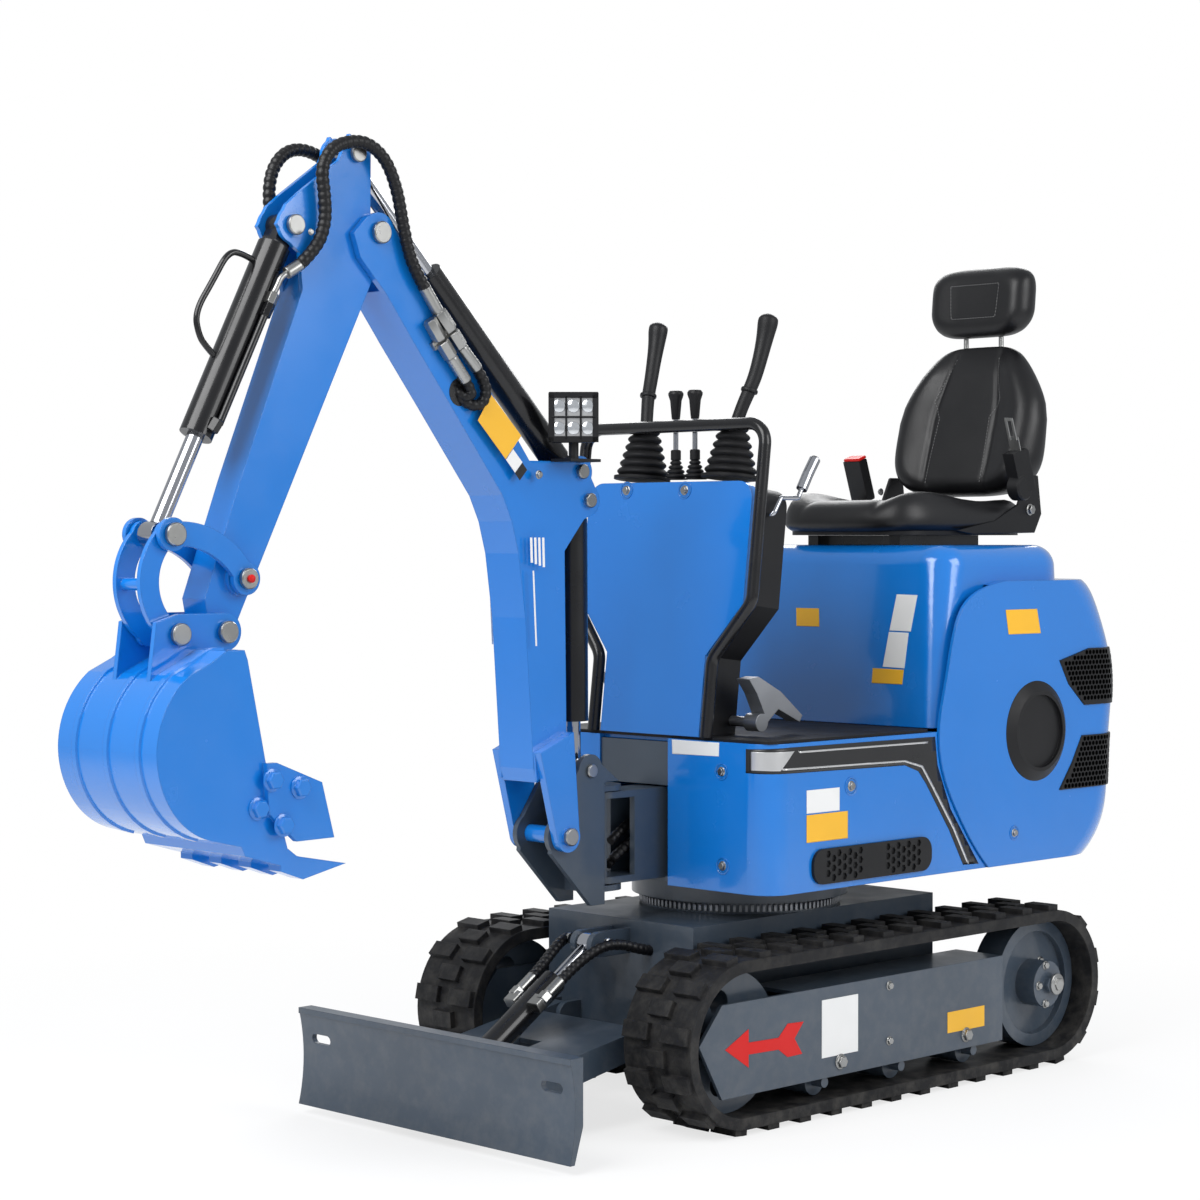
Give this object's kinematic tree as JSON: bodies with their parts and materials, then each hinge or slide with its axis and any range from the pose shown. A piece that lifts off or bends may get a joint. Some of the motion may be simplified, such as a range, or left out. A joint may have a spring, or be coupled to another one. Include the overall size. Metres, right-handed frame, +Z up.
{
  "type": "tracked excavator",
  "caption": "Small open-seat tracked excavator with rubber tracks, a dozer blade, and a swinging boom, arm and bucket worked by hydraulic cylinders.",
  "frame": {"origin": "on the ground, below the middle of the parked machine's length and width", "axes": "+X forward towards the blade, +Y to the operator's left, +Z up"},
  "size_m": [2.6306, 0.8, 1.9413],
  "materials": {
    "blue_paint": "gloss blue paint",
    "dark_paint": "satin slate-grey paint",
    "black_paint": "satin black paint",
    "rubber": "matt black rubber",
    "rubber_mat": "matt black rubber mat",
    "black_plastic": "grained black plastic",
    "seat_cover": "black vinyl seat cover",
    "chrome_rod": "polished chrome",
    "cast_iron": "cast iron"
  },
  "bodies": {
    "undercarriage": {"track_left": "rubber", "track_right": "rubber", "track_frame_left": "dark_paint", "track_frame_right": "dark_paint", "idler_left": "dark_paint", "idler_right": "dark_paint", "sprocket_left": "dark_paint", "sprocket_right": "dark_paint", "rollers_left": "dark_paint", "rollers_right": "dark_paint", "lower_carriage": "dark_paint", "slew_ring": "dark_paint"},
    "upper_works": {"upper_ring": "dark_paint", "upper_frame": "dark_paint", "engine_block": "cast_iron", "body_skirt": "blue_paint", "floor_mat": "rubber_mat", "rear_hood": "blue_paint", "seat_box": "blue_paint", "console": "black_plastic", "console_cowl": "blue_paint", "guard_rail": "black_paint", "joystick_left": "black_plastic", "joystick_right": "black_plastic", "small_levers": "black_plastic", "throttle_lever": "black_plastic", "travel_pedals": "black_paint", "seat_rails": "black_paint", "seat_cushion": "seat_cover", "seat_back": "seat_cover", "headrest": "seat_cover", "front_panel": "dark_paint", "side_grilles": "black_plastic", "side_discs": "black_plastic", "rear_grilles": "black_plastic"},
    "swing_post": {"swing_post": "dark_paint"},
    "boom": {"boom": "blue_paint", "lamp": "black_plastic"},
    "boom_barrel": {"boom_cylinder_barrel": "black_paint"},
    "boom_rod": {"boom_cylinder_rod": "chrome_rod"},
    "arm": {"arm": "blue_paint"},
    "arm_barrel": {"arm_cylinder_barrel": "black_paint"},
    "arm_rod": {"arm_cylinder_rod": "chrome_rod"},
    "rocker": {"rocker_links": "blue_paint"},
    "bucket_link": {"bucket_links": "blue_paint"},
    "bucket": {"bucket": "blue_paint"},
    "bucket_barrel": {"bucket_cylinder_barrel": "black_paint"},
    "bucket_rod": {"bucket_cylinder_rod": "chrome_rod"},
    "blade": {"blade": "dark_paint"},
    "blade_barrel": {"blade_cylinder_barrel": "black_paint"},
    "blade_rod": {"blade_cylinder_rod": "chrome_rod"}
  },
  "joints": [
    {"name": "slew", "type": "hinge", "parent": "undercarriage", "child": "upper_works", "pos_m": [-0.34648, 0, 0.415], "axis": [0, 0, 1], "continuous": true},
    {"name": "boom_swing", "type": "hinge", "parent": "upper_works", "child": "swing_post", "pos_m": [0.08852, 0, 0.565], "axis": [0, 0, 1], "range_deg": [-50, 50]},
    {"name": "boom_lift", "type": "hinge", "parent": "swing_post", "child": "boom", "pos_m": [0.24452, 0, 0.581], "axis": [0, 1, 0], "range_deg": [-3, 95]},
    {"name": "boom_barrel_hinge", "type": "hinge", "parent": "boom", "child": "boom_barrel", "pos_m": [0.16749, 0, 1.25949], "axis": [0, -1, 0], "range_deg": [-6.98, 0.27]},
    {"name": "boom_rod_slide", "type": "slide", "parent": "boom_barrel", "child": "boom_rod", "axis": [-0.0072, 0, -1], "range_m": [-0.00736, 0.21788]},
    {"name": "arm_swing", "type": "hinge", "parent": "boom", "child": "arm", "pos_m": [0.72146, 0, 1.75912], "axis": [0, -1, 0], "range_deg": [-8, 100]},
    {"name": "arm_barrel_hinge", "type": "hinge", "parent": "boom", "child": "arm_barrel", "pos_m": [0.1889, 0, 1.31771], "axis": [0, -1, 0], "range_deg": [-0.74, 8.69]},
    {"name": "arm_rod_slide", "type": "slide", "parent": "arm_barrel", "child": "arm_rod", "axis": [0.7007, 0, 0.7135], "range_m": [-0.21471, 0.01764]},
    {"name": "bucket_curl", "type": "hinge", "parent": "arm", "child": "bucket", "pos_m": [1.09048, 0, 1.0141], "axis": [0, -1, 0], "range_deg": [-85, 50]},
    {"name": "rocker_hinge", "type": "hinge", "parent": "arm", "child": "rocker", "pos_m": [1.04326, 0, 1.10945], "axis": [0, -1, 0], "range_deg": [-51.16, 30.11]},
    {"name": "bucket_link_hinge", "type": "hinge", "parent": "rocker", "child": "bucket_link", "pos_m": [1.20448, 0, 1.1891], "axis": [0, -1, 0], "range_deg": [-11.2, 19.01]},
    {"name": "bucket_barrel_hinge", "type": "hinge", "parent": "arm", "child": "bucket_barrel", "pos_m": [0.91556, 0, 1.75928], "axis": [0, -1, 0], "range_deg": [-2.44, 1.46]},
    {"name": "bucket_rod_slide", "type": "slide", "parent": "bucket_barrel", "child": "bucket_rod", "axis": [0.452, 0, -0.892], "range_m": [-0.08917, 0.15125]},
    {"name": "blade_lift", "type": "hinge", "parent": "undercarriage", "child": "blade", "pos_m": [0.06552, 0, 0.178], "axis": [0, 1, 0], "range_deg": [-22, 16]},
    {"name": "blade_barrel_hinge", "type": "hinge", "parent": "blade", "child": "blade_barrel", "pos_m": [0.42852, 0, 0.143], "axis": [0, -1, 0], "range_deg": [-2.16, 1.58]},
    {"name": "blade_rod_slide", "type": "slide", "parent": "blade_barrel", "child": "blade_rod", "axis": [-0.8394, 0, 0.5435], "range_m": [-0.06556, 0.04781]}
  ],
  "couplings": [
    {"joint": "boom_barrel_hinge", "follows": "boom_lift", "ratio": -0.072915},
    {"joint": "boom_rod_slide", "follows": "boom_lift", "m_per_rad": 0.13111},
    {"joint": "arm_barrel_hinge", "follows": "arm_swing", "ratio": 0.086412},
    {"joint": "arm_rod_slide", "follows": "arm_swing", "m_per_rad": -0.12273},
    {"joint": "rocker_hinge", "follows": "bucket_curl", "ratio": 0.6013},
    {"joint": "bucket_link_hinge", "follows": "bucket_curl", "ratio": -0.22309},
    {"joint": "bucket_barrel_hinge", "follows": "bucket_curl", "ratio": 0.028127},
    {"joint": "bucket_rod_slide", "follows": "bucket_curl", "m_per_rad": -0.10161},
    {"joint": "blade_barrel_hinge", "follows": "blade_lift", "ratio": 0.095967},
    {"joint": "blade_rod_slide", "follows": "blade_lift", "m_per_rad": 0.16943}
  ]
}
